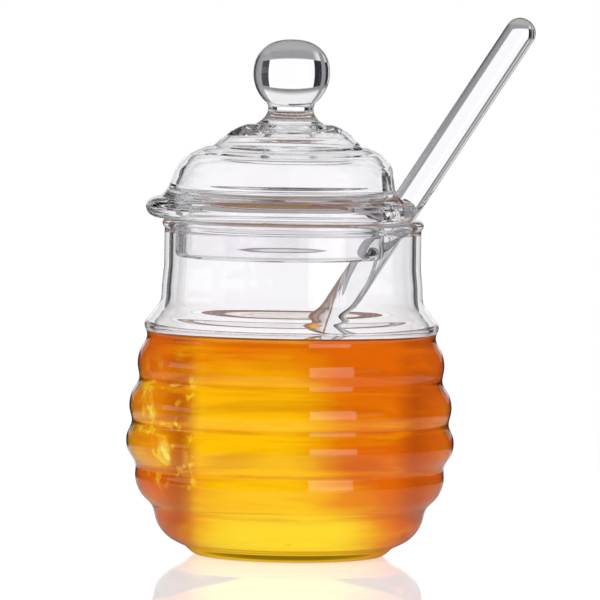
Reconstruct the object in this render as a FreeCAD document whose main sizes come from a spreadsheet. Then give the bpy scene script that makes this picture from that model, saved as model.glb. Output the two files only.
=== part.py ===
import FreeCAD, Part
import Sketcher
import math
import os

# Beehive honey jar of clear blown glass: a ridged barrel with a neck and a beaded rim, honey up to
# the shoulder, a knobbed lid that lies on the rim, and a glass dipper that leans out through the
# lid's notch. Millimetres, +Z up, origin at the centre of the jar's flat base. The dipper leans
# towards +X, in the XZ plane.

doc = FreeCAD.newDocument("honey_jar")

# Driving sizes: alias, value, what it measures.
SIZE_ROWS = [
    ("wall", 2.2, "thickness of the jar's glass, floor included"),
    ("foot_radius", 24.3, "flat base"),
    ("belly_radius", 42.7, "widest part of the barrel, between ridge tops and grooves"),
    ("belly_height", 31.9, "height of the widest part"),
    ("band_radius", 38.7, "top of the barrel"),
    ("band_height", 58.4, "height of the barrel's top"),
    ("foot_spread", 1.3, "exponent: how fast the barrel widens from the foot"),
    ("foot_lift", 1.16, "exponent: how fast it rises from the foot"),
    ("top_taper", 2.83, "exponent: how late it narrows above the belly"),
    ("top_lift", 1.32, "exponent: how fast it rises above the belly"),
    ("ridge_depth", 0.68, "how far a ridge stands out and a groove goes in"),
    ("ridge_pitch", 11.28, "from one ridge to the next, in height"),
    ("ridge_height", 29.05, "height of the ridge on the belly"),
    ("foot_fade", 1.5, "height over which the ridges begin above the base"),
    ("shoulder_start", 60.5, "height where the shoulder leaves the band"),
    ("shoulder_end", 66.4, "height where the shoulder meets the neck"),
    ("throat_radius", 34.65, "neck just above the shoulder"),
    ("neck_start", 76.0, "height from which the neck is straight"),
    ("neck_radius", 33.75, "outside of the straight neck"),
    ("rim_height", 88.5, "top of the rim"),
    ("bead_radius", 1.4, "round of the rim's bead"),
    ("honey_level", 59.7, "surface of the honey"),
    ("film", 0.12, "gap between the honey and the glass"),
    ("handle_radius", 4.1, "dipper's rod"),
    ("rod_length", 154.3, "from the centre of one round end to the other"),
    ("floor_gap", 1.9, "honey left under the dipper's tip"),
    ("tip_offset", 24.4, "dipper's tip, from the jar's axis towards -X"),
    ("rim_gap", 0.2, "between the rod and the rim that it leans on"),
    ("ring_tube", 2.3, "round of each ring on the dipper's head"),
    ("ring_reach", 6.9, "outside radius of the rings"),
    ("ring_pitch", 6.2, "from one ring to the next"),
    ("ring_start", 4.0, "first ring, from the centre of the tip"),
    ("lid_wall", 2.0, "thickness of the lid's glass"),
    ("skirt_slack", 3.6, "between a centred skirt and the neck, on each side"),
    ("skirt_gap", 1.2, "what is left of it at -X, where the lid has slid to"),
    ("skirt_depth", 10.3, "how far the skirt reaches into the neck"),
    ("flange_reach", 8.0, "how far the flange stands out from the skirt"),
    ("flange_thickness", 5.2, "flange"),
    ("dome_reach", 1.0, "how far the foot of the dome stands out from the skirt"),
    ("dome_foot", 11.6, "height of the dome's steep side above the rim"),
    ("dome_top", 18.8, "height of the dome's round shoulder above the rim"),
    ("crease_inset", 9.95, "from the foot of the dome in to the crease under its upper tier"),
    ("crease_height", 19.6, "crease above the rim"),
    ("tier_inset", 6.0, "from the crease in to the flat top of the upper tier"),
    ("tier_height", 24.5, "flat top above the rim"),
    ("knob_neck_radius", 6.2, "stem under the knob"),
    ("knob_neck_height", 27.7, "where the stem begins to flare, above the rim"),
    ("knob_radius", 10.1, "ball"),
    ("knob_height", 38.1, "centre of the ball above the rim"),
    ("notch_slack", 3.6, "room in the notch on each side of the rod"),
    ("notch_height", 5.0, "centre of the notch's round top above the rim"),
]

RING_COUNT = 6
WALL_SPANS = 34
INSET_SPANS = 64

sheet = doc.addObject("Spreadsheet::Sheet", "sizes")
for row, (alias, value, note) in enumerate(SIZE_ROWS, start=1):
    sheet.set(f"A{row}", note)
    sheet.set(f"B{row}", str(value))
    sheet.setAlias(f"B{row}", alias)
doc.recompute()


class Size:
    """A length that knows its value and the expression over the sheet that gives it."""

    def __init__(self, value, text):
        self.value = value
        self.text = text

    def _join(self, other, sign, value):
        return Size(value, f"({self.text} {sign} {as_size(other).text})")

    def __add__(self, other):
        return self._join(other, "+", self.value + as_size(other).value)

    def __sub__(self, other):
        return self._join(other, "-", self.value - as_size(other).value)

    def __mul__(self, other):
        return self._join(other, "*", self.value * as_size(other).value)

    def __truediv__(self, other):
        return self._join(other, "/", self.value / as_size(other).value)

    def __neg__(self):
        return Size(-self.value, f"(-1 * {self.text})")

    def root(self):
        return Size(math.sqrt(self.value), f"sqrt({self.text})")


def as_size(number):
    return number if isinstance(number, Size) else Size(float(number), str(number))


def size(alias):
    return Size(float(sheet.get(alias)), f"sizes.{alias}")


def bind(thing, prop, amount):
    """Drive a property from the sheet."""
    thing.setExpression(prop, as_size(amount).text)


def primitive(kind, name, **sizes):
    """A Part primitive or boolean whose properties are bound to the sheet."""
    thing = doc.addObject(kind, name)
    for prop, amount in sizes.items():
        bind(thing, prop.replace("__", "."), amount)
    return thing


# Jar wall ---------------------------------------------------------------------------------------

wall = size("wall").value
ridge_pitch = size("ridge_pitch").value


def barrel(turn):
    """Smooth barrel under the ridges: turn 0 at the foot, 1 at the belly, 2 at the top."""
    belly_radius = size("belly_radius").value
    belly_height = size("belly_height").value
    if turn <= 1:
        angle = turn * math.pi / 2
        foot_radius = size("foot_radius").value
        spread = math.sin(angle) ** size("foot_spread").value
        lift = math.cos(angle) ** size("foot_lift").value
        return foot_radius + (belly_radius - foot_radius) * spread, belly_height * (1 - lift)
    angle = (turn - 1) * math.pi / 2
    band_radius = size("band_radius").value
    taper = math.cos(angle) ** size("top_taper").value
    lift = math.sin(angle) ** size("top_lift").value
    rise = size("band_height").value - belly_height
    return band_radius + (belly_radius - band_radius) * taper, belly_height + rise * lift


def ridged_wall(turn):
    """Point on the outside of the barrel, with its ridges, in the XZ plane."""
    step = 0.002
    radius, height = barrel(turn)
    before = barrel(max(turn - step, 0))
    after = barrel(min(turn + step, 2))
    run = math.hypot(after[0] - before[0], after[1] - before[1])
    phase = 2 * math.pi * (height - size("ridge_height").value) / ridge_pitch
    fade = min(1, height / size("foot_fade").value)
    swell = size("ridge_depth").value * math.cos(phase) * fade
    return FreeCAD.Vector(radius + swell * (after[1] - before[1]) / run, 0,
                          height - swell * (after[0] - before[0]) / run)


def spline(points):
    """Smooth curve through the points."""
    curve = Part.BSplineCurve()
    curve.interpolate(Points=points)
    return curve


def outer_curve():
    """Outside of the jar from the edge of its base to the straight neck."""
    points = [ridged_wall(2 * i / WALL_SPANS) for i in range(WALL_SPANS + 1)]
    start, end = size("shoulder_start").value, size("shoulder_end").value
    band, throat = points[-1].x, size("throat_radius").value
    neck, neck_start = size("neck_radius").value, size("neck_start").value
    points.append(FreeCAD.Vector(band, 0, start))
    points.append(FreeCAD.Vector((band + throat) / 2, 0, (start + end) / 2))
    points.append(FreeCAD.Vector(throat, 0, end))
    points.append(FreeCAD.Vector((throat + neck) / 2, 0, (end + neck_start) / 2))
    points.append(FreeCAD.Vector(neck, 0, neck_start))
    return spline(points)


def inset_curve(depth):
    """The same wall, moved into the glass by a depth."""
    outside = outer_curve()
    first, last = outside.FirstParameter, outside.LastParameter
    points = []
    for i in range(INSET_SPANS + 1):
        at = first + (last - first) * i / INSET_SPANS
        along = outside.tangent(at)[0]
        points.append(outside.value(at) + FreeCAD.Vector(-along.z, 0, along.x) * depth)
    return spline(points)


def line(start, end):
    return Part.LineSegment(start, end).toShape()


def outline(name, edges):
    """A face in the XZ plane, kept in the document for the revolution that turns it."""
    thing = doc.addObject("Part::Feature", name)
    thing.Shape = Part.Face(Part.Wire(Part.__sortEdges__(edges)))
    return thing


def turned(name, profile):
    """A solid turned about the jar's axis."""
    thing = doc.addObject("Part::Revolution", name)
    thing.Source = profile
    thing.Axis = FreeCAD.Vector(0, 0, 1)
    thing.Angle = 360
    thing.Solid = True
    return thing


def jar_outline():
    """Section of the jar's wall, closed by the bead of its rim."""
    outside, inside = outer_curve(), inset_curve(wall)
    rim, bead = size("rim_height").value, size("bead_radius").value
    neck = size("neck_radius").value
    bead_middle = FreeCAD.Vector(neck - wall + bead, 0, rim - bead)
    drop = math.sqrt(bead ** 2 - (neck - bead_middle.x) ** 2)
    outer_end = FreeCAD.Vector(neck, 0, bead_middle.z - drop)
    inner_end = FreeCAD.Vector(neck - wall, 0, bead_middle.z)
    crown = bead_middle + FreeCAD.Vector(1, 0, 1).normalize() * bead
    return outline("jar_outline", [
        line(FreeCAD.Vector(0, 0, 0), outside.StartPoint),
        outside.toShape(),
        line(outside.EndPoint, outer_end),
        Part.Arc(outer_end, crown, inner_end).toShape(),
        line(inner_end, inside.EndPoint),
        inside.toShape(),
        line(inside.StartPoint, FreeCAD.Vector(0, 0, wall)),
        line(FreeCAD.Vector(0, 0, wall), FreeCAD.Vector(0, 0, 0)),
    ])


def bore_outline():
    """Section of the room inside the jar, less the film that keeps the honey off the glass."""
    depth = wall + size("film").value
    inside = inset_curve(depth)
    top = FreeCAD.Vector(0, 0, inside.EndPoint.z)
    floor = FreeCAD.Vector(0, 0, depth)
    return outline("bore_outline", [
        line(floor, inside.StartPoint),
        inside.toShape(),
        line(inside.EndPoint, top),
        line(top, floor),
    ])


jar = turned("jar", jar_outline())


# Dipper -----------------------------------------------------------------------------------------

def dipper_solid(name, grow):
    """A rod with two round ends and a ringed head, turned about its own axis and then leant."""
    radius = size("handle_radius") + grow
    tube = size("ring_tube") + grow
    length = size("rod_length")
    pieces = [
        primitive("Part::Cylinder", name + "_rod", Radius=radius, Height=length),
        primitive("Part::Sphere", name + "_tip", Radius=radius),
        primitive("Part::Sphere", name + "_top", Radius=radius, Placement__Base__z=length),
    ]
    for i in range(RING_COUNT):
        pieces.append(primitive("Part::Torus", f"{name}_ring_{i + 1}",
                                Radius1=size("ring_reach") - size("ring_tube"), Radius2=tube,
                                Placement__Base__z=size("ring_start") + size("ring_pitch") * i))
    whole = doc.addObject("Part::MultiFuse", name)
    whole.Shapes = pieces
    return whole


def lean_dipper(whole):
    """Stand the tip just over the jar's floor and lean the rod on the inside of the rim."""
    tip_x = -size("tip_offset")
    tip_z = size("wall") + size("handle_radius") + size("floor_gap")
    bead_x = size("neck_radius") - size("wall") + size("bead_radius")
    bead_z = size("rim_height") - size("bead_radius")
    reach = size("bead_radius") + size("rim_gap") + size("handle_radius")
    run, rise = bead_x - tip_x, bead_z - tip_z
    span = (run * run + rise * rise).root()
    whole.Placement = FreeCAD.Placement(FreeCAD.Vector(), FreeCAD.Rotation(FreeCAD.Vector(0, 1, 0), 1))
    bind(whole, "Placement.Base.x", tip_x)
    bind(whole, "Placement.Base.z", tip_z)
    whole.setExpression("Placement.Rotation.Angle",
                        f"acos({reach.text} / {span.text}) - atan2({rise.text}; {run.text})")


dipper = dipper_solid("dipper", 0)
dipper_bed = dipper_solid("dipper_bed", size("film"))
for rod in (dipper, dipper_bed):
    lean_dipper(rod)


# Honey ------------------------------------------------------------------------------------------

bore = turned("bore", bore_outline())
fill = primitive("Part::Cylinder", "fill", Radius=size("belly_radius") * 2, Height=size("honey_level"))
honey_blank = doc.addObject("Part::Common", "honey_blank")
honey_blank.Base = bore
honey_blank.Tool = fill
honey = doc.addObject("Part::Cut", "honey")
honey.Base = honey_blank
honey.Tool = dipper_bed


# Lid --------------------------------------------------------------------------------------------

def origin_plane(body, role):
    return next(plane for plane in body.Origin.OriginFeatures if plane.Role == role)


def new_sketch(body, name, role):
    sketch = body.newObject("Sketcher::SketchObject", name)
    sketch.AttachmentSupport = (origin_plane(body, role), [""])
    sketch.MapMode = "FlatFace"
    return sketch


def pin_point(sketch, index, place, spot):
    """Hold one point of a sketch at its distances from the two axes."""
    for kind, axis, amount in (("DistanceX", -2, spot[0]), ("DistanceY", -1, spot[1])):
        if amount.value == 0:
            sketch.addConstraint(Sketcher.Constraint("PointOnObject", index, place, axis))
            continue
        number = sketch.addConstraint(Sketcher.Constraint(kind, -1, 1, index, place, amount.value))
        sketch.setExpression(f"Constraints[{number}]", amount.text)


def arc_through(here, middle, there):
    """An anticlockwise arc through three points, and whether it runs from the last to the first."""
    circle = Part.Arc(here, middle, there).toShape().Curve
    backwards = (middle - here).cross(there - middle).z < 0
    ends = (there, here) if backwards else (here, there)
    angles = [math.atan2(end.y - circle.Center.y, end.x - circle.Center.x) for end in ends]
    whole = Part.Circle(circle.Center, FreeCAD.Vector(0, 0, 1), circle.Radius)
    return Part.ArcOfCircle(whole, *angles), backwards


def draw(sketch, path):
    """A closed outline: each step of the path is (end,) for a line or (end, via) for an arc."""
    steps = [tuple(tuple(as_size(part) for part in spot) for spot in step) for step in path]
    here = steps[-1][0]
    joints = []
    for end, *bends in steps:
        start_place, end_place = 1, 2
        flat = [FreeCAD.Vector(spot[0].value, spot[1].value, 0) for spot in (here, *bends, end)]
        if bends:
            arc, backwards = arc_through(*flat)
            index = sketch.addGeometry(arc)
            start_place, end_place = (2, 1) if backwards else (1, 2)
            guide = sketch.addGeometry(Part.Point(flat[1]), True)
            pin_point(sketch, guide, 1, bends[0])
            sketch.addConstraint(Sketcher.Constraint("PointOnObject", guide, 1, index))
        else:
            index = sketch.addGeometry(Part.LineSegment(*flat))
        joints.append(((index, start_place), (index, end_place)))
        pin_point(sketch, index, end_place, end)
        here = end
    for (_, end), (start, _) in zip(joints, joints[1:] + joints[:1]):
        sketch.addConstraint(Sketcher.Constraint("Coincident", *end, *start))


def make_lid():
    """Knob, two-tier dome, solid flange and skirt in one piece, its seat on the rim at local Z 0."""
    body = doc.addObject("PartDesign::Body", "lid")
    glass = size("lid_wall")
    skirt = size("neck_radius") - size("wall") - size("skirt_slack")
    flange = skirt + size("flange_reach")
    half = size("flange_thickness") / 2
    depth = size("skirt_depth")
    dome = skirt + size("dome_reach")
    crease, crease_z = dome - size("crease_inset"), size("crease_height")
    tier, tier_z = crease - size("tier_inset"), size("tier_height")
    stem, stem_z = size("knob_neck_radius"), size("knob_neck_height")
    ball, ball_z = size("knob_radius"), size("knob_height")
    foot_z, top_z = size("dome_foot"), size("dome_top")
    chord = ball_z - (ball * ball - stem * stem).root()

    profile = new_sketch(body, "lid_section", "XZ_Plane")
    draw(profile, [
        ((stem, chord), (ball, ball_z)),
        ((stem, stem_z),),
        ((stem + 2.6, tier_z + 0.5), (stem + 0.7, tier_z + 1.4)),
        ((tier, tier_z),),
        ((tier + 4, tier_z - 3), (tier + 2.6, tier_z - 1.3)),
        ((crease, crease_z),),
        ((crease + 2.6, top_z),),
        ((dome, foot_z), (dome - 2.9, top_z - 2.4)),
        ((dome + 1.7, half * 2 + 1.8),),
        ((flange - half, half * 2), (dome + 2.4, half * 2 + 0.5)),
        ((flange - half, 0), (flange, half)),
        ((skirt, 0),),
        ((skirt, glass / 2 - depth),),
        ((skirt - glass, glass / 2 - depth), (skirt - glass / 2, -depth)),
        ((skirt - glass, half),),
        ((dome - glass, foot_z - 0.8),),
        ((crease + 1.8, top_z - glass + 0.2), (dome - 4.6, top_z - 4)),
        ((crease - 1.4, crease_z - glass + 0.2),),
        ((tier + 2.6, tier_z - 4.4),),
        ((tier - 0.4, tier_z - glass - 0.1), (tier + 1.4, tier_z - 3)),
        ((0, tier_z - glass - 0.1),),
        ((0, ball_z + ball),),
    ])
    doc.recompute()
    turn = body.newObject("PartDesign::Revolution", "lid_turned")
    turn.Profile = profile
    turn.ReferenceAxis = (profile, ["V_Axis"])
    turn.Angle = 360
    profile.Visibility = False

    width = size("handle_radius") + size("notch_slack")
    arch = size("notch_height")
    low = -depth - 2
    slot = new_sketch(body, "notch_section", "YZ_Plane")
    draw(slot, [
        ((width, low),),
        ((width, arch),),
        ((-width, arch), (0, arch + width)),
        ((-width, low),),
    ])
    doc.recompute()
    before = turn.Shape.Volume
    notch = body.newObject("PartDesign::Pocket", "notch")
    notch.Profile = slot
    notch.Type = 0
    bind(notch, "Length", flange * 2)
    notch.Reversed = True
    doc.recompute()
    assert notch.Shape.Volume < before - 1, "the notch cut nothing"
    body.Tip = notch
    bind(body, "Placement.Base.x", size("skirt_gap") - size("skirt_slack"))
    bind(body, "Placement.Base.z", size("rim_height"))
    return body


lid = make_lid()


# Checks and files -------------------------------------------------------------------------------

doc.recompute()
for thing in doc.Objects:
    faults = [word for word in thing.State if word in ("Invalid", "Error")]
    assert not faults, f"{thing.Label}: {faults}"

os.makedirs("parts", exist_ok=True)
for node in (jar, honey, dipper, lid):
    shape = node.Shape
    assert not shape.isNull() and shape.isValid(), node.Label
    assert len(shape.Solids) == 1, f"{node.Label}: {len(shape.Solids)} solids"
    shape.exportStep(f"parts/{node.Label}.step")
    print(node.Label, round(shape.Volume / 1000, 2), "ml", shape.BoundBox)
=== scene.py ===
import math

import bmesh
import bpy
from mathutils import Matrix, Vector


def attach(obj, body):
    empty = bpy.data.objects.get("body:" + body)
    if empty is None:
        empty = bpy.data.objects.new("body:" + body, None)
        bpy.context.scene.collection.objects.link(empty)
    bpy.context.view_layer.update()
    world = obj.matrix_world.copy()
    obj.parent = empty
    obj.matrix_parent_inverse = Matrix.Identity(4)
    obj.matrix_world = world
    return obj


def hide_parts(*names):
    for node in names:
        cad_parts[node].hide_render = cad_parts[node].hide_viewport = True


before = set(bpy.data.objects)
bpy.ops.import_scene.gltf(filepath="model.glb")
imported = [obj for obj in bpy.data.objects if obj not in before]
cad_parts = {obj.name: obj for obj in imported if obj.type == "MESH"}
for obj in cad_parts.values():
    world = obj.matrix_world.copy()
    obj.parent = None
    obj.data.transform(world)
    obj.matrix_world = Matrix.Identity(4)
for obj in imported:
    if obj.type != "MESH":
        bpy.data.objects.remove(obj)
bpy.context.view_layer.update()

MM = 0.001

# Sizes in millimetres, those of the part's own source. The honey's level is 1.1 lower here, and the rod 0.02 shorter.
WALL = 2.2
FOOT_RADIUS, BELLY_RADIUS, BAND_RADIUS = 24.3, 42.7, 38.7
BELLY_HEIGHT, BAND_HEIGHT = 31.9, 58.4
RIDGE_DEPTH, RIDGE_PITCH, RIDGE_HEIGHT = 0.68, 11.28, 29.05
NECK_RADIUS, BEAD_RADIUS, RIM_HEIGHT = 33.75, 1.4, 88.5
HONEY_LEVEL = 58.6
ROD_RADIUS, ROD_LENGTH = 4.1, 154.28
TIP = (-24.4, 0.0, 8.2)
LEAN = math.radians(32.66)
HEAD_START, HEAD_PITCH, HEAD_RINGS = 4.0, 6.2, 6
HEAD_RADIUS, HEAD_TUBE = 4.6, 2.3

# How far the honey reaches into the glass, climbs where it clings, and how soon that fades.
HONEY_GRIP, HONEY_CLIMB, HONEY_FADE = 0.15, 1.0, 0.9
BED_INSET = 0.12
# The foot's clear glass ends here, and the honey's colour shows through above it.
FOOT_GLASS = 3.5

# Columns of faces round a turned body.
COLUMNS, ROD_COLUMNS = 240, 96


# Sockets and nodes ------------------------------------------------------------------------------

class Signal:
    """A shader socket on which sums are written as plain Python."""

    def __init__(self, bench, socket):
        self.bench = bench
        self.socket = socket

    def sum(self, operation, *terms):
        return self.bench.node("ShaderNodeMath", {"operation": operation}, dict(enumerate(terms)))

    def __add__(self, other):
        return self.sum("ADD", self, other)

    def __sub__(self, other):
        return self.sum("SUBTRACT", self, other)

    def __rsub__(self, other):
        return self.sum("SUBTRACT", other, self)

    def __mul__(self, other):
        return self.sum("MULTIPLY", self, other)

    def __abs__(self):
        return self.sum("ABSOLUTE", self)

    __radd__ = __add__
    __rmul__ = __mul__


class Bench:
    """A material's or the world's node tree."""

    def __init__(self, owner):
        owner.use_nodes = True
        self.tree = owner.node_tree
        self.tree.nodes.clear()

    def node(self, kind, settings=None, sockets=None, output=0):
        """A node with its settings, its sockets' values or links, and one of its outputs."""
        made = self.tree.nodes.new(kind)
        for name, value in (settings or {}).items():
            setattr(made, name, value)
        for name, value in (sockets or {}).items():
            socket = made.inputs[name]
            if isinstance(value, Signal):
                self.tree.links.new(value.socket, socket)
            else:
                socket.default_value = value
        return Signal(self, made.outputs[output]) if made.outputs else made

    def tint(self, share, plain, full):
        """A colour between two, by a share."""
        return self.node("ShaderNodeMix", {"data_type": "RGBA"}, {0: share, 6: plain, 7: full}, output=2)

    def ramp(self, share, low, high):
        """0 below low, 1 above high, smooth between."""
        return self.node("ShaderNodeMapRange", {"interpolation_type": "SMOOTHSTEP"},
                         {"Value": share, "From Min": low, "From Max": high})

    def light_ray(self, kind):
        return self.node("ShaderNodeLightPath", output=kind)


def rgba(red, green, blue):
    return (red, green, blue, 1)


# Finishes ---------------------------------------------------------------------------------------

def clear_finish(name, colour, bend, waves=0.02, coat=0.0):
    """A clear body, by its colour, how much it bends light, its waviness and its coat."""
    finish = bpy.data.materials.new(name)
    bench = Bench(finish)
    place = bench.node("ShaderNodeTexCoord", output="Object")
    wave = bench.node("ShaderNodeTexNoise", None, {"Vector": place, "Scale": 60.0, "Detail": 2.0})
    smear = bench.node("ShaderNodeTexNoise", None, {"Vector": place, "Scale": 240.0, "Detail": 4.0})
    normal = bench.node("ShaderNodeBump", None, {"Strength": waves, "Distance": 0.001, "Height": wave})
    body = bench.node("ShaderNodeBsdfPrincipled", None, {
        "Base Color": colour(bench, place) if callable(colour) else colour,
        "Roughness": smear * 0.004,
        "IOR": bend,
        "Transmission Weight": 1.0,
        "Coat Weight": coat,
        "Coat Roughness": 0.0,
        "Normal": normal,
    })
    bench.node("ShaderNodeOutputMaterial", None, {"Surface": body})
    return finish


def honey_colour_and_painted_light(bench, place):
    """Honey's gold and amber, with painted light and shade over them: brighter gold left of the middle as if lit from
    there, amber painted shade at the right and near the surface, and a light yellow painted glow from the table
    below, low in the middle where the honey thins at the foot.
    """
    part = {axis: bench.node("ShaderNodeSeparateXYZ", None, {"Vector": place}, output=axis) for axis in "XZ"}
    across, height = part["X"], part["Z"]

    def drawn(across, up, detail):
        """Noise drawn out level, by how often it changes across and upward in a metre."""
        scaled = bench.node("ShaderNodeVectorMath", {"operation": "MULTIPLY"}, {0: place, 1: (across, across, up)})
        return bench.node("ShaderNodeTexNoise", None, {"Vector": scaled, "Scale": 1.0, "Detail": detail})

    # Level streaks and strokes: the blotches that the wavy glass throws, painted in as light and shade.
    streak, stroke = drawn(30, 190, 3.0), drawn(45, 620, 2.0)
    side = abs(across)
    # Painted shade in amber: near the surface, at the right, at the far left edge, in a band on the sides and in the
    # low corners.
    top = bench.ramp(height, 0.036, 0.057)
    right = bench.ramp(across, -0.002, 0.019) * (bench.ramp(height, 0.006, 0.022) * 0.55 + 0.45)
    left = 1 - bench.ramp(across, -0.033, -0.024)
    painted_band_shade = (1 - bench.ramp(abs(height - 0.0195), 0.001, 0.005)) * bench.ramp(side, 0.012, 0.030)
    corner = (1 - bench.ramp(height, 0.009, 0.017)) * bench.ramp(side, 0.015, 0.027)
    amber = (top * 0.8 + right * 0.9 + left * 0.5 + painted_band_shade * 0.6 + corner * 0.6
             + (streak - 0.47) * 1.5 + (stroke - 0.5) * 0.8)
    colour = bench.tint(amber, rgba(1.0, 0.54, 0.0012), rgba(0.74, 0.135, 0.0008))
    # Painted reflection of the dark flags: two dark columns, left and right of the middle, broken by the streaks.
    deep = (1 - bench.ramp(abs(across + 0.0275), 0.001, 0.005)) + (
        1 - bench.ramp(abs(across - 0.0315), 0.001, 0.006))
    colour = bench.tint(deep * bench.ramp(streak, 0.33, 0.50) * 0.85, colour, rgba(0.45, 0.07, 0.002))
    # Painted light from the white table below: light yellow low in the middle, where the honey thins at the foot.
    painted_glow_low = (1 - bench.ramp(height, 0.007, 0.017)) * (1 - bench.ramp(side, 0.010, 0.027))
    colour = bench.tint(painted_glow_low * (1.5 - streak), colour, rgba(1.0, 0.70, 0.02))
    # Painted highlights: small bright yellow sparkles at the left, about a third of the way up.
    painted_highlight_speck = bench.node("ShaderNodeTexNoise", None, {"Vector": place, "Scale": 260.0, "Detail": 2.0})
    painted_highlight = bench.ramp(painted_highlight_speck, 0.56, 0.68) * (1 - bench.ramp(abs(across + 0.031), 0.004, 0.010)) * (
        1 - bench.ramp(abs(height - 0.033), 0.010, 0.018))
    colour = bench.tint(painted_highlight, colour, rgba(1.0, 0.78, 0.12))
    # Painted shade: dark lines where the hollows between the ridges run, broken by the streaks.
    ripple = (height - RIDGE_HEIGHT * MM) * (2 * math.pi / (RIDGE_PITCH * MM))
    painted_ridge_shade = bench.ramp(ripple.sum("COSINE", ripple) * -1, 0.90, 0.99) * bench.ramp(streak, 0.35, 0.6)
    return bench.tint(painted_ridge_shade * 0.4, colour, rgba(0.35, 0.06, 0.002))


def studio_floor():
    """White acrylic that mirrors at a low angle, and ends softly a little way out."""
    finish = bpy.data.materials.new("white_acrylic_table")
    bench = Bench(finish)
    place = bench.node("ShaderNodeTexCoord", output="Object")
    out = bench.node("ShaderNodeVectorMath", {"operation": "LENGTH"}, {0: place}, output="Value")
    acrylic = bench.node("ShaderNodeBsdfPrincipled", None, {
        "Base Color": rgba(0.5, 0.5, 0.5), "Roughness": 0.02, "IOR": 1.45,
        "Emission Color": rgba(1, 1, 1), "Emission Strength": bench.light_ray("Is Camera Ray") * 0.5})
    clear = bench.node("ShaderNodeBsdfTransparent")
    surface = bench.node("ShaderNodeMixShader", None, {0: bench.ramp(out, 0.20, 0.30), 1: acrylic, 2: clear})
    bench.node("ShaderNodeOutputMaterial", None, {"Surface": surface})
    return finish


def studio_world():
    """White for what is lit and seen directly.

    Through glass there are two bright screens with dark flags at their sides, a ceiling and a table. A mirrored ray
    finds it dark, but for dim screens, a softbox, and white low down on two sides.
    """
    world = bpy.data.worlds.new("light_tent")
    bpy.context.scene.world = world
    bench = Bench(world)
    way = bench.node("ShaderNodeTexCoord", output="Generated")
    flat = bench.node("ShaderNodeVectorMath", {"operation": "MULTIPLY"}, {0: way, 1: (1, 1, 0)})
    flat = bench.node("ShaderNodeVectorMath", {"operation": "NORMALIZE"}, {0: flat})
    up = bench.node("ShaderNodeSeparateXYZ", None, {"Vector": way}, output="Z")

    def facing(x, y):
        """Cosine of the level angle from a direction."""
        return bench.node("ShaderNodeVectorMath", {"operation": "DOT_PRODUCT"}, {0: flat, 1: (x, y, 0)},
                          output="Value")

    def raised(low, high):
        """0 under one elevation in degrees, 1 over another."""
        return bench.ramp(up, math.sin(math.radians(low)), math.sin(math.radians(high)))

    def past(angle, low, high):
        """0 under one angle in degrees, 1 over another."""
        return bench.ramp(angle, math.radians(low), math.radians(high))

    def within(cosine, full, none):
        """1 nearer than one angle in degrees, 0 beyond another."""
        return bench.ramp(cosine, math.cos(math.radians(none)), math.cos(math.radians(full)))

    along = facing(-math.sqrt(0.5), math.sqrt(0.5))
    turn = along.sum("ARCCOSINE", along)
    aside = along.sum("MINIMUM", abs(turn - math.radians(45)), math.pi - turn)
    opposite = past(turn, 138, 142)
    beside, beyond = past(aside, 25, 26), past(aside, 38, 40)
    softbox = math.radians(148.8)
    toward = facing(math.sin(softbox), math.cos(softbox))
    strip = within(toward, 16.8, 17.5) * (1 - bench.ramp(abs(up), 0.30, 0.34))
    over, high = raised(14, 15), raised(16, 24)
    under = (1 - raised(-16, -14)) * (1 - opposite)
    deep = 1 - raised(-60, -20)
    low = bench.ramp(up, 0.0, 0.02) * (1 - bench.ramp(up, 0.17, 0.20))
    level = (1 - over) * (1 - under)
    behind = past(turn, 88, 115) * (1 - opposite)
    ceiling = bench.tint(high, rgba(0.25, 0.25, 0.26), rgba(0.93, 0.93, 0.94))
    table = bench.tint(deep, rgba(0.34, 0.35, 0.37), rgba(0.60, 0.60, 0.62))
    seen = bench.tint(over, rgba(1.08, 1.08, 1.09), ceiling)
    table = bench.tint(past(turn, 10, 20), rgba(0.85, 0.85, 0.85), table)
    seen = bench.tint(under, seen, table)
    seen = bench.tint(beside * level, seen, rgba(0.03, 0.03, 0.035))
    seen = bench.tint(beyond, seen, rgba(0.32, 0.32, 0.34))
    seen = bench.tint(behind, seen, rgba(0.04, 0.04, 0.045))
    ahead, left = facing(0, 1), facing(-1, 0)
    mirrored = bench.tint((1 - beside) * low, rgba(0.03, 0.03, 0.03), rgba(0.25, 0.25, 0.25))
    mirrored = bench.tint(within(ahead.sum("MAXIMUM", ahead, left), 12, 16) * low, mirrored, rgba(1, 1, 1))
    mirrored = bench.tint(strip, mirrored, rgba(2.0, 2.0, 2.0))
    colour = bench.tint(bench.light_ray("Is Glossy Ray"), rgba(1, 1, 1), mirrored)
    colour = bench.tint(bench.light_ray("Is Transmission Ray"), colour, seen)
    sky = bench.node("ShaderNodeBackground", None, {"Color": colour, "Strength": 1.0})
    bench.node("ShaderNodeOutputWorld", None, {"Surface": sky})


# Sections and turned bodies ---------------------------------------------------------------------

def barrel(turn):
    """Smooth barrel under the ridges: turn 0 at the foot, 1 at the belly, 2 at the top."""
    if turn <= 1:
        angle = turn * math.pi / 2
        return (FOOT_RADIUS + (BELLY_RADIUS - FOOT_RADIUS) * math.sin(angle) ** 1.3,
                BELLY_HEIGHT * (1 - math.cos(angle) ** 1.16))
    angle = (turn - 1) * math.pi / 2
    return (BAND_RADIUS + (BELLY_RADIUS - BAND_RADIUS) * max(math.cos(angle), 0) ** 2.83,
            BELLY_HEIGHT + (BAND_HEIGHT - BELLY_HEIGHT) * math.sin(angle) ** 1.32)


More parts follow.
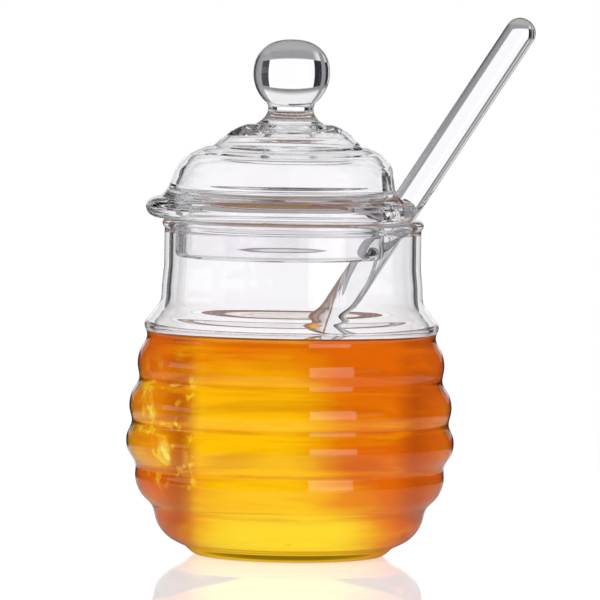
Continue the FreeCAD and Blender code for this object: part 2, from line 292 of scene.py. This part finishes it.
def ridged(turn):
    """The barrel with its ridges, each moved out along the barrel's own normal."""
    step = 0.002
    radius, height = barrel(turn)
    before, after = barrel(max(turn - step, 0)), barrel(min(turn + step, 2))
    run = math.dist(before, after)
    phase = 2 * math.pi * (height - RIDGE_HEIGHT) / RIDGE_PITCH
    swell = RIDGE_DEPTH * (math.cos(phase) - 0.13 * math.cos(2 * phase)) * min(1, height / 1.5)
    return radius + swell * (after[1] - before[1]) / run, height - swell * (after[0] - before[0]) / run


def smooth(points, count):
    """Points at even distances along a smooth curve through the given ones."""
    ends = [2 * Vector(points[0]) - Vector(points[1]), *map(Vector, points),
            2 * Vector(points[-1]) - Vector(points[-2])]
    fine = []
    for a, b, c, d in zip(ends, ends[1:], ends[2:], ends[3:]):
        spans = [max((q - p).length, 1e-6) ** 0.5 for p, q in ((a, b), (b, c), (c, d))]
        out = (b - a) / spans[0] - (c - a) / (spans[0] + spans[1]) + (c - b) / spans[1]
        back = (c - b) / spans[1] - (d - b) / (spans[1] + spans[2]) + (d - c) / spans[2]
        out, back = out * spans[1], back * spans[1]
        for k in range(24):
            t = k / 24
            fine.append((2 * t**3 - 3 * t**2 + 1) * b + (t**3 - 2 * t**2 + t) * out
                        + (3 * t**2 - 2 * t**3) * c + (t**3 - t**2) * back)
    fine.append(ends[-2])
    return spread(fine, count)


def spread(points, count):
    """The same line, with count points at even distances."""
    points = [Vector(point) for point in points]
    reach = [0.0]
    for here, there in zip(points, points[1:]):
        reach.append(reach[-1] + (there - here).length)
    even, at = [], 0
    for k in range(count):
        goal = reach[-1] * k / (count - 1)
        while at < len(points) - 2 and reach[at + 1] < goal:
            at += 1
        share = (goal - reach[at]) / max(reach[at + 1] - reach[at], 1e-9)
        even.append(points[at].lerp(points[at + 1], min(max(share, 0), 1)))
    return even


def moved_in(section, depth):
    """A section moved to the left of its own direction by a depth."""
    out = []
    for k, point in enumerate(section):
        ahead = section[min(k + 1, len(section) - 1)] - section[max(k - 1, 0)]
        out.append(point + Vector((-ahead.y, ahead.x)).normalized() * depth)
    return out


def round_arc(middle, radius, start, end, count):
    """Points of an arc, from one angle in degrees to another."""
    angles = [math.radians(start + (end - start) * k / (count - 1)) for k in range(count)]
    return [Vector((middle[0] + radius * math.cos(a), middle[1] + radius * math.sin(a))) for a in angles]


def turned_body(section, columns, place=lambda point, height: point):
    """A closed mesh turned about the vertical axis from a section that starts and ends on it."""
    mesh = bmesh.new()
    rings = []
    for radius, height in section:
        if radius < 1e-6:
            rings.append([mesh.verts.new(place(Vector((0, 0, height)), height) * MM)])
            continue
        angles = [2 * math.pi * k / columns for k in range(columns)]
        rings.append([mesh.verts.new(place(Vector((radius * math.cos(a), radius * math.sin(a), height)),
                                           height) * MM) for a in angles])
    for upper, lower in zip(rings, rings[1:]):
        for k in range(columns):
            corners = [upper[k % len(upper)], upper[(k + 1) % len(upper)],
                       lower[(k + 1) % len(lower)], lower[k % len(lower)]]
            corners = list(dict.fromkeys(corners))
            if len(corners) > 2:
                mesh.faces.new(corners)
    return mesh


def piece(name, mesh, finish, node=None):
    """Close a mesh into an object, and with a node, let it stand for that solid of the part."""
    bmesh.ops.remove_doubles(mesh, verts=mesh.verts, dist=1e-6)
    bmesh.ops.recalc_face_normals(mesh, faces=mesh.faces)
    for face in mesh.faces:
        face.smooth = True
    data = bpy.data.meshes.new(name)
    mesh.to_mesh(data)
    mesh.free()
    thing = bpy.data.objects.new(name, data)
    bpy.context.scene.collection.objects.link(thing)
    data.materials.append(finish)
    if node:
        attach(thing, "root")
        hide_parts(node)
    return thing


# Jar --------------------------------------------------------------------------------------------

def jar_outside():
    """The jar's outside from the foot to the straight neck."""
    wall = [Vector(ridged(2 * k / 400)) for k in range(401)]
    wall += smooth([wall[-1], (BAND_RADIUS, 60.5), (36.68, 63.45), (34.65, 66.4), (34.2, 71.2),
                    (NECK_RADIUS, 76)], 60)[1:]
    return spread(wall, 300)


def jar_section():
    outside = jar_outside()
    inside = moved_in(outside, WALL)
    bead = (NECK_RADIUS - WALL + BEAD_RADIUS, RIM_HEIGHT - BEAD_RADIUS)
    start = -math.degrees(math.acos((NECK_RADIUS - bead[0]) / BEAD_RADIUS))
    rim = round_arc(bead, BEAD_RADIUS, start, 180, 24)
    straight_out = spread([outside[-1], rim[0]], 8)[1:-1]
    straight_in = spread([rim[-1], inside[-1]], 8)[1:-1]
    foot = smooth([(0, 0.35), (12, 0.3), (21, 0.1), (23.2, 0), outside[0]], 14)[:-1]
    floor = smooth([inside[0], (20, 2.15), (10, 2.35), (0, 2.45)], 14)[1:]
    return [*foot, *outside, *straight_out, *rim, *straight_in, *reversed(inside), *floor]


# Honey ------------------------------------------------------------------------------------------

def honey_section():
    """Honey up to its level, a little into the glass, with a curved rim where it clings."""
    wall = [point for point in moved_in(jar_outside(), WALL - HONEY_GRIP) if point.y < HONEY_LEVEL + HONEY_CLIMB]
    floor = smooth([(0, 2.2), (12, 2.1), (21, 2.0), wall[0]], 12)[:-1]
    edge = wall[-1].x
    cling = [Vector((edge - reach, HONEY_LEVEL + HONEY_CLIMB * math.exp(-reach / HONEY_FADE)))
             for reach in (0.25, 0.5, 0.8, 1.2, 1.7, 2.3, 3.0, 4.0, 6.0, 9.0)]
    top = spread([cling[-1], (0, HONEY_LEVEL)], 14)[1:]
    return [*floor, *wall, *cling, *top]


# Dipper -----------------------------------------------------------------------------------------

def dipper_section(shrink=0.0):
    """The rod, from its tip to its round top, with the ringed head near the tip."""
    radius = ROD_RADIUS
    steps = []
    for k in range(2200):
        along = -radius + (ROD_LENGTH + 2 * radius) * k / 2199
        reach = radius
        if along < 0:
            reach = math.sqrt(max(radius**2 - along**2, 0))
        if along > ROD_LENGTH:
            reach = math.sqrt(max(radius**2 - (along - ROD_LENGTH)**2, 0))
        for ring in range(HEAD_RINGS):
            away = abs(along - HEAD_START - HEAD_PITCH * ring)
            if away < HEAD_TUBE:
                reach = max(reach, HEAD_RADIUS + math.sqrt(HEAD_TUBE**2 - away**2))
        steps.append((reach, along))
    steps[0], steps[-1] = (0, steps[0][1]), (0, steps[-1][1])
    line = spread(steps, 420)
    if shrink:
        line = moved_in(line, shrink)
        line[0].x = line[-1].x = 0
        line = [point for point in line if point.x >= 0]
    return line


def leant(point, height):
    """Stand the dipper on its tip and lean it out over the rim."""
    return Matrix.Rotation(LEAN, 3, "Y") @ point + Vector(TIP)


# Lid --------------------------------------------------------------------------------------------

NOTCH_HALF, NOTCH_TOP, NOTCH_ROUND, NOTCH_CORNER = 7.7, 93.5, 0.7, 2.6
FLANGE_TIP = 35.9
LID_WALL = 2.1
APEX = NOTCH_TOP + NOTCH_HALF + NOTCH_ROUND
# The knob's ball, the radius where the stem takes over, and how high and how square its flattened top is.
KNOB_HEIGHT, KNOB_RADIUS, STEM_RADIUS = 126.7, 10.05, 6.4
KNOB_RISE, KNOB_SQUARE = 8.95, 2.3

DOME = [(13.0, 112.7), (14.4, 112.0), (15.8, 111.1), (17.4, 109.7), (19.3, 108.2), (21.8, 107.4),
        (23.6, 106.6), (25.1, 105.8), (26.8, 104.2), (27.9, 102.6), (28.6, 101.2), (29.0, 100), (29.5, 98.7),
        (30.05, 97.1), (30.9, 95.5), (31.6, 94.6)]


def lid_section():
    """The lid's section in parts, from the knob down the outside and up the inside."""
    chord = KNOB_HEIGHT - math.sqrt(KNOB_RADIUS**2 - STEM_RADIUS**2)
    end = math.degrees(math.atan2(chord - KNOB_HEIGHT, STEM_RADIUS))
    ball = round_arc((0, KNOB_HEIGHT), KNOB_RADIUS, 90, end, 60)
    for point in ball:
        if point.y > KNOB_HEIGHT:
            share = min(abs(point.x) / KNOB_RADIUS, 1)
            point.y = KNOB_HEIGHT + KNOB_RISE * (1 - share ** KNOB_SQUARE) ** (1 / KNOB_SQUARE)
    ball[0].x = 0
    stem = smooth([ball[-1], (6.05, 118.1), (6.15, 116.4), (7.5, 114.5), (9.2, 113.5), (11.2, 113.3),
                   DOME[0]], 40)[1:]
    outside = smooth(DOME, 400)
    above = [point for point in outside if point.y > APEX]
    below = [point for point in outside if point.y < APEX]
    cross = above[-1].lerp(below[0], (above[-1].y - APEX) / (above[-1].y - below[0].y))
    wall = [point for point in moved_in(outside, -LID_WALL) if 96.4 < point.y < 109.4]
    under = smooth([(0, 110.7), (9, 110.7), (12.2, 110.5), *wall[::12], (28.6, 95.2), (27.9, 93.5)], 400)
    under_above = [point for point in under if point.y > APEX]
    under_below = [point for point in under if point.y < APEX]
    under_cross = under_above[-1].lerp(under_below[0], 0.5)
    under_cross.y = APEX
    parts = {
        "top": [*ball, *stem, *spread(above, 60)[1:-1]],
        "dome": spread([cross, *below], 30),
        "flange_top": smooth([below[-1], (32.4, 94.1), (33.9, 93.7), (35.2, 92.9), (FLANGE_TIP, 91.4)], 18),
        "flange_foot": smooth([(FLANGE_TIP, 91.4), (35.4, 89.9), (34.2, 88.9), (32.6, 88.5), (29, 88.5),
                               (28.2, 88.2), (27.9, 87.4)], 18),
        "skirt": smooth([(27.9, 87.4), (27.9, 84), (27.85, 79.6), (27.6, 78.7), (26.9, 78.3)], 20),
        "skirt_inside": smooth([(26.9, 78.3), (26.2, 78.7), (25.95, 79.6), (25.9, 84), (25.9, 87.4)], 20),
        "waist": smooth([(25.9, 87.4), (26.1, 90), (26.8, 91.9), under_below[-1]], 8),
        "dome_inside": spread([under_cross, *under_below], 30)[::-1],
        "under_top": spread(under_above[::-1], 70)[1:],
    }
    return parts


def lid_axis(height):
    """The hand-made lid leans a little: its knob isn't quite over its skirt."""
    knots = [(78, -3.05), (92, -2.9), (100, -2.45), (107, -1.9), (111, -1.25), (118, -1.05), (137, -0.83)]
    for (low, first), (high, second) in zip(knots, knots[1:]):
        if height <= high:
            share = max(height - low, 0) / (high - low)
            return first + (second - first) * share * share * (3 - 2 * share)
    return knots[-1][1]


def make_lid_mesh():
    """The lid in rows down its outside and up its inside, with the notch's edges rolled in."""
    rows, mark = [], {}
    for name, line in lid_section().items():
        apart = name in ("top", "dome", "under_top")
        mark[name] = len(rows) - (0 if apart else 1)
        rows += line if apart else line[1:]
    first, last = mark["dome"], mark["under_top"] - 1
    inward = []
    for k, point in enumerate(rows):
        ahead = rows[min(k + 1, len(rows) - 1)] - rows[max(k - 1, 0)]
        inward.append(Vector((ahead.y, -ahead.x)).normalized())
    outer_line = rows[:mark["flange_top"] + 1]
    inner_line = rows[mark["waist"]:]

    def at_height(line, height):
        """Place on a line at a height, nearest the rim side, where it is steep."""
        best = None
        for a, b in zip(line, line[1:]):
            if min(a.y, b.y) <= height <= max(a.y, b.y) and abs(a.y - b.y) > 1e-9:
                spot = a.lerp(b, (height - a.y) / (b.y - a.y))
                if best is None or spot.x > best.x:
                    best = spot
        return best

    def opening(row, roll):
        """Half-width, radius and height at the notch's edge for a row, as its edge rolls in."""
        point = rows[row]
        half = NOTCH_HALF + NOTCH_ROUND * (1 - math.sin(roll))
        depth = NOTCH_ROUND * (1 - math.cos(roll))
        reach = point.x - (FLANGE_TIP - NOTCH_CORNER)
        corner = NOTCH_CORNER - math.sqrt(max(NOTCH_CORNER**2 - reach**2, 0)) if reach > 0 else 0
        if point.y <= NOTCH_TOP:
            spot, across = point, half + corner
        else:
            rise = min((point.y - NOTCH_TOP) / (NOTCH_HALF + NOTCH_ROUND), 1)
            height = NOTCH_TOP + half * rise
            across = half * math.sqrt(max(1 - rise * rise, 0)) + corner
            steep = row < mark["flange_top"] or row >= mark["waist"]
            line = outer_line if row < mark["flange_top"] else inner_line
            spot = (at_height(line, height) if steep else None) or point
        spot = spot + inward[row] * depth
        return across, spot

    mesh = bmesh.new()

    def vertex(radius, angle, height):
        return mesh.verts.new(Vector((lid_axis(height) + radius * math.cos(angle),
                                      radius * math.sin(angle), height)) * MM)

    grid = []
    for row, point in enumerate(rows):
        cut = first <= row <= last
        open_angle = math.asin(min(opening(row, 0)[0] / max(point.x, 1e-6), 1)) if cut else 0
        line = []
        for k in range(COLUMNS + 1):
            angle = open_angle + (2 * math.pi - 2 * open_angle) * k / COLUMNS
            line.append(vertex(point.x, angle, point.y))
        grid.append(line)
    rolls = [math.radians(90 * k / 5) for k in range(1, 6)]
    edges = {1: [], -1: []}
    for row in range(first, last + 1):
        for side in edges:
            line = [grid[row][0] if side == 1 else grid[row][-1]]
            for roll in rolls:
                across, spot = opening(row, roll)
                angle = math.asin(min(max(across, 0) / spot.x, 1))
                line.append(vertex(spot.x, side * angle, spot.y))
            edges[side].append(line)

    def quad(*corners):
        corners = list(dict.fromkeys(corners))
        if len(corners) > 2:
            try:
                mesh.faces.new(corners)
            except ValueError:
                pass

    for upper, lower in zip(grid, grid[1:]):
        for k in range(COLUMNS):
            quad(upper[k], upper[k + 1], lower[k + 1], lower[k])
    for lines in edges.values():
        for upper, lower in zip(lines, lines[1:]):
            for k in range(len(rolls)):
                quad(upper[k], upper[k + 1], lower[k + 1], lower[k])
        wall = {row: line[-1] for row, line in zip(range(first, last + 1), lines)}
        foot, seat, bottom = mark["flange_top"], mark["skirt"], mark["skirt_inside"]
        tip, inner_seat, inner_foot = mark["flange_foot"], mark["waist"], mark["dome_inside"]
        for k in range(foot - first):
            quad(wall[first + k], wall[first + k + 1], wall[last - k - 1], wall[last - k])
        for k in range(tip - foot):
            quad(wall[foot + k], wall[foot + k + 1], wall[seat - k - 1], wall[seat - k])
        for k in range(bottom - seat):
            quad(wall[seat + k], wall[seat + k + 1], wall[inner_seat - k - 1], wall[inner_seat - k])
        quad(wall[foot], wall[seat], *(wall[row] for row in range(inner_seat, inner_foot + 1)))
    return mesh


# Making -----------------------------------------------------------------------------------------

GLASS = rgba(0.985, 0.98, 0.99)
jar_glass = clear_finish("jar_glass", GLASS, 1.47)
jar_round_honey = clear_finish("jar_glass_round_honey", rgba(1, 1, 1), 1.06, coat=1.0)
jar_wetted = clear_finish("jar_glass_wetted", rgba(1, 1, 1), 1.0)
lid_glass = clear_finish("lid_glass", GLASS, 1.47)
dipper_glass = clear_finish("dipper_glass", GLASS, 1.62)
dipper_wetted = clear_finish("dipper_glass_wetted", rgba(1, 1, 1), 1.0)
honey_syrup = clear_finish("honey_syrup", honey_colour_and_painted_light, 1.0, waves=0.0)
honey_bed = clear_finish("honey_round_dipper", rgba(1, 1, 1), 1.0, waves=0.0)
# Painted shade: a dark brown-grey tint on the honey's top, for the dark rings round its edge.
honey_top_painted_shade = clear_finish("honey_surface_painted_shade", rgba(0.40, 0.18, 0.17), 1.49, waves=0.0, coat=1.0)


def refinish(thing, finish, chosen):
    """Give the faces that are chosen another finish."""
    thing.data.materials.append(finish)
    index = len(thing.data.materials) - 1
    for face in thing.data.polygons:
        if chosen(face):
            face.material_index = index


def in_honey(face):
    """Below the honey's level."""
    return face.center.z < HONEY_LEVEL * MM


def faces_in(face):
    """On the inside of the jar, its floor too."""
    return face.center.z > 0.001 and (
        face.center.x * face.normal.x + face.center.y * face.normal.y < 0
        or (face.normal.z > 0.9 and face.center.xy.length < 0.026))


jar = piece("blown_jar", turned_body(jar_section(), COLUMNS), jar_glass, "jar")
refinish(jar, jar_wetted, lambda face: in_honey(face) and faces_in(face))
refinish(jar, jar_round_honey,
         lambda face: in_honey(face) and face.center.z > FOOT_GLASS * MM and not faces_in(face))
dipper = piece("glass_dipper", turned_body(dipper_section(), ROD_COLUMNS, leant), dipper_glass,
               "dipper")
refinish(dipper, dipper_wetted, in_honey)
piece("knobbed_lid", make_lid_mesh(), lid_glass, "lid")


def make_honey():
    """Honey with the dipper's bed cut out of it, just inside the dipper's own surface."""
    body = piece("golden_honey", turned_body(honey_section(), COLUMNS), honey_syrup)
    core = piece("dipper_core", turned_body(dipper_section(BED_INSET), ROD_COLUMNS, leant), honey_bed)
    cut = body.modifiers.new("bed", "BOOLEAN")
    cut.operation = "DIFFERENCE"
    cut.solver = "EXACT"
    cut.material_mode = "TRANSFER"
    cut.object = core
    graph = bpy.context.evaluated_depsgraph_get()
    body_data = bpy.data.meshes.new_from_object(body.evaluated_get(graph))
    body.modifiers.clear()
    body.data = body_data
    bpy.data.objects.remove(core)
    # The honey's top takes the painted-shade tint.
    refinish(body, honey_top_painted_shade, lambda face: face.material_index == 0 and face.normal.z > 0.5
             and face.center.z > (HONEY_LEVEL - 0.5) * MM)
    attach(body, "root")
    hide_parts("honey")


make_honey()


# Studio -----------------------------------------------------------------------------------------

def make_floor():
    """The table's top, a hair under the jar's foot."""
    mesh = bmesh.new()
    bmesh.ops.create_grid(mesh, x_segments=1, y_segments=1, size=6)
    bmesh.ops.translate(mesh, verts=mesh.verts, vec=(0, 0, -0.0001))
    data = bpy.data.meshes.new("table_top")
    mesh.to_mesh(data)
    mesh.free()
    floor = bpy.data.objects.new("table_top", data)
    bpy.context.scene.collection.objects.link(floor)
    data.materials.append(studio_floor())


def make_camera():
    """A long lens a little above the shoulder, tipped a touch out of level."""
    lens = bpy.data.cameras.new("camera")
    camera = bpy.data.objects.new("camera", lens)
    bpy.context.scene.collection.objects.link(camera)
    stand = Vector((0.0021, -1.75, 0.165))
    target = Vector((0.0021, 0, 0.0671))
    aim = (target - stand).to_track_quat("-Z", "Y").to_matrix()
    tilt = Matrix.Rotation(math.radians(0.85), 3, "Z")
    camera.matrix_world = Matrix.Translation(stand) @ (aim @ tilt).to_4x4()
    view_width = 157.894737 * MM
    lens.sensor_width = 36
    lens.lens = lens.sensor_width * (target - stand).length / view_width
    lens.clip_start = 0.01
    lens.clip_end = 100
    bpy.context.scene.camera = camera


make_floor()
make_camera()
studio_world()
scene = bpy.context.scene
scene.view_settings.view_transform = "Standard"
scene.cycles.max_bounces = 32
scene.cycles.transmission_bounces = 32
scene.cycles.glossy_bounces = 16
scene.cycles.transparent_max_bounces = 32
